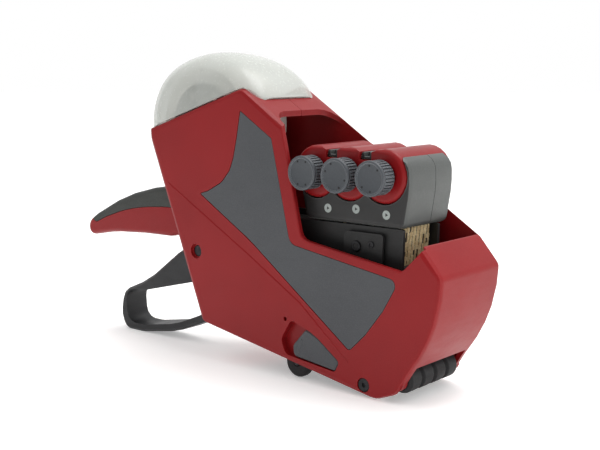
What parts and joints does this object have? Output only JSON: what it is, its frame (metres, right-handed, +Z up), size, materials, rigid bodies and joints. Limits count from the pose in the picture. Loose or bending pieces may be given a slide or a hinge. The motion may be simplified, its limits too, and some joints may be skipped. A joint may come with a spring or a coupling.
{
  "type": "price labeling gun",
  "caption": "Hand price labeling gun: squeeze trigger, dropping print head with selector knobs, label roll under a clear cover, hinged bottom flap.",
  "frame": {"origin": "on the table under the middle of the tool, in its standing position on the trigger's loop and the nose", "axes": "+X towards the nose, +Y towards the side without knobs, +Z up"},
  "size_m": [0.259, 0.0548, 0.161],
  "materials": {
    "red_plastic": "satin moulded red",
    "grey_plastic": "fine-grained dark grey",
    "charcoal_plastic": "satin charcoal",
    "soft_grip": "matt soft-touch",
    "dark_rubber": "matt black",
    "clear_plastic": "clear, slightly milky",
    "paper": "coated label paper",
    "type_brass": "worn gold-coloured type",
    "ink_felt": "inked felt",
    "steel": "plain bright"
  },
  "bodies": {
    "body": {"housing_right": "red_plastic", "housing_left": "red_plastic", "side_panel_right": "grey_plastic", "side_panel_left": "grey_plastic", "cover_hinge_pin": "steel", "handle_shell": "red_plastic", "handle_grip": "soft_grip", "handle_bolt": "steel", "trigger_pivot_pin": "steel", "trigger_return_spring": "steel", "carrier_pivot_pin": "steel", "feed_axle": "steel", "flap_hinge_screw": "steel", "applicator_axle": "steel"},
    "trigger": {"trigger_lever": "charcoal_plastic"},
    "link": {"drive_link": "steel"},
    "head": {"head_carrier": "charcoal_plastic", "head_casing_right": "charcoal_plastic", "head_casing_left": "charcoal_plastic", "head_cap": "red_plastic", "digit_window_1": "grey_plastic", "digit_window_2": "grey_plastic", "selector_bushing_1": "charcoal_plastic", "selector_bushing_2": "charcoal_plastic", "selector_bushing_3": "charcoal_plastic", "band_wheels_1": "charcoal_plastic", "band_wheels_2": "charcoal_plastic", "band_wheels_3": "charcoal_plastic", "type_bands_1": "type_brass", "type_bands_2": "type_brass", "type_bands_3": "type_brass"},
    "ink_arm": {"ink_arm": "charcoal_plastic", "ink_roller_pin": "steel"},
    "ink_roller": {"ink_roller": "ink_felt"},
    "roll": {"label_roll": "paper", "roll_core": "paper", "roll_hub_right": "grey_plastic", "roll_hub_left": "grey_plastic"},
    "cover": {"roll_cover": "clear_plastic"},
    "feed": {"feed_wheel": "charcoal_plastic", "ratchet_wheel": "steel"},
    "pawl": {"feed_pawl": "steel"},
    "flap": {"bottom_flap": "charcoal_plastic", "platen_pad": "dark_rubber", "guide_axle": "steel"},
    "guide_wheel_right": {"guide_wheel_right": "dark_rubber"},
    "guide_wheel_left": {"guide_wheel_left": "dark_rubber"},
    "latch_right": {"latch_button_right": "grey_plastic"},
    "latch_left": {"latch_button_left": "grey_plastic"},
    "applicator": {"applicator_roller": "dark_rubber"},
    "selector_1": {"selector_collar_1": "charcoal_plastic"},
    "knob_1": {"selector_knob_1": "grey_plastic", "selector_shaft_1": "steel"},
    "selector_2": {"selector_collar_2": "charcoal_plastic"},
    "knob_2": {"selector_knob_2": "grey_plastic", "selector_shaft_2": "steel"},
    "selector_3": {"selector_collar_3": "charcoal_plastic"},
    "knob_3": {"selector_knob_3": "grey_plastic", "selector_shaft_3": "steel"}
  },
  "joints": [
    {"name": "trigger_squeeze", "type": "hinge", "parent": "body", "child": "trigger", "pos_m": [-0.022, 0, 0.0575], "axis": [0, 1, 0], "range_deg": [0, 12], "stiffness_Nm_per_rad": 2, "springref_deg": -17.19},
    {"name": "head_drop", "type": "hinge", "parent": "body", "child": "head", "pos_m": [-0.012, 0, 0.072], "axis": [0, 1, 0], "range_deg": [0, 11]},
    {"name": "link_pivot", "type": "hinge", "parent": "trigger", "child": "link", "pos_m": [0.004, 0, 0.05], "axis": [0, 1, 0], "range_deg": [-11, 0]},
    {"name": "ink_arm_swing", "type": "hinge", "parent": "head", "child": "ink_arm", "pos_m": [0.077, 0, 0.07], "axis": [0, 1, 0], "range_deg": [0, 50.5]},
    {"name": "ink_roller_spin", "type": "hinge", "parent": "ink_arm", "child": "ink_roller", "pos_m": [0.081, 0, 0.01946], "axis": [0, 1, 0], "continuous": true},
    {"name": "roll_spin", "type": "hinge", "parent": "body", "child": "roll", "pos_m": [-0.0245, 0, 0.1235], "axis": [0, 1, 0], "continuous": true},
    {"name": "cover_open", "type": "hinge", "parent": "body", "child": "cover", "pos_m": [0.0152, 0, 0.13802], "axis": [0, 1, 0], "range_deg": [0, 80]},
    {"name": "feed_wheel_spin", "type": "hinge", "parent": "body", "child": "feed", "pos_m": [0.016, 0, 0.032], "axis": [0, 1, 0], "continuous": true},
    {"name": "pawl_lift", "type": "hinge", "parent": "body", "child": "pawl", "pos_m": [0.0275, 0, 0.0455], "axis": [0, 1, 0], "range_deg": [0, 12], "stiffness_Nm_per_rad": 0.004, "springref_deg": -11.46},
    {"name": "flap_drop", "type": "hinge", "parent": "body", "child": "flap", "pos_m": [0.088, 0, 0.0062], "axis": [0, 1, 0], "range_deg": [-55, 0]},
    {"name": "guide_wheel_right_spin", "type": "hinge", "parent": "flap", "child": "guide_wheel_right", "pos_m": [0.043, 0, 0.0078], "axis": [0, 1, 0], "continuous": true},
    {"name": "guide_wheel_left_spin", "type": "hinge", "parent": "flap", "child": "guide_wheel_left", "pos_m": [0.043, 0, 0.0078], "axis": [0, 1, 0], "continuous": true},
    {"name": "latch_right_slide", "type": "slide", "parent": "body", "child": "latch_right", "axis": [-0.9937, 0, 0.1123], "range_m": [0, 0.0048], "stiffness_N_per_m": 200, "springref_m": -0.002},
    {"name": "latch_left_slide", "type": "slide", "parent": "body", "child": "latch_left", "axis": [-0.9937, 0, 0.1123], "range_m": [0, 0.0048], "stiffness_N_per_m": 200, "springref_m": -0.002},
    {"name": "applicator_spin", "type": "hinge", "parent": "body", "child": "applicator", "pos_m": [0.105, 0, 0.0104], "axis": [0, 1, 0], "continuous": true},
    {"name": "selector_1_pull", "type": "slide", "parent": "head", "child": "selector_1", "axis": [0, -1, 0], "range_m": [0, 0.0232]},
    {"name": "knob_1_turn", "type": "hinge", "parent": "selector_1", "child": "knob_1", "pos_m": [0.0522, 0, 0.1038], "axis": [0, -1, 0], "continuous": true},
    {"name": "selector_2_pull", "type": "slide", "parent": "head", "child": "selector_2", "axis": [0, -1, 0], "range_m": [0, 0.0232]},
    {"name": "knob_2_turn", "type": "hinge", "parent": "selector_2", "child": "knob_2", "pos_m": [0.0722, 0, 0.1038], "axis": [0, -1, 0], "continuous": true},
    {"name": "selector_3_pull", "type": "slide", "parent": "head", "child": "selector_3", "axis": [0, -1, 0], "range_m": [0, 0.0232]},
    {"name": "knob_3_turn", "type": "hinge", "parent": "selector_3", "child": "knob_3", "pos_m": [0.0922, 0, 0.1038], "axis": [0, -1, 0], "continuous": true}
  ],
  "couplings": [
    {"joint": "head_drop", "follows": "trigger_squeeze", "ratio": 0.9155},
    {"joint": "link_pivot", "follows": "trigger_squeeze", "ratio": -0.908},
    {"joint": "ink_arm_swing", "follows": "trigger_squeeze", "ratio": 4.1667}
  ]
}
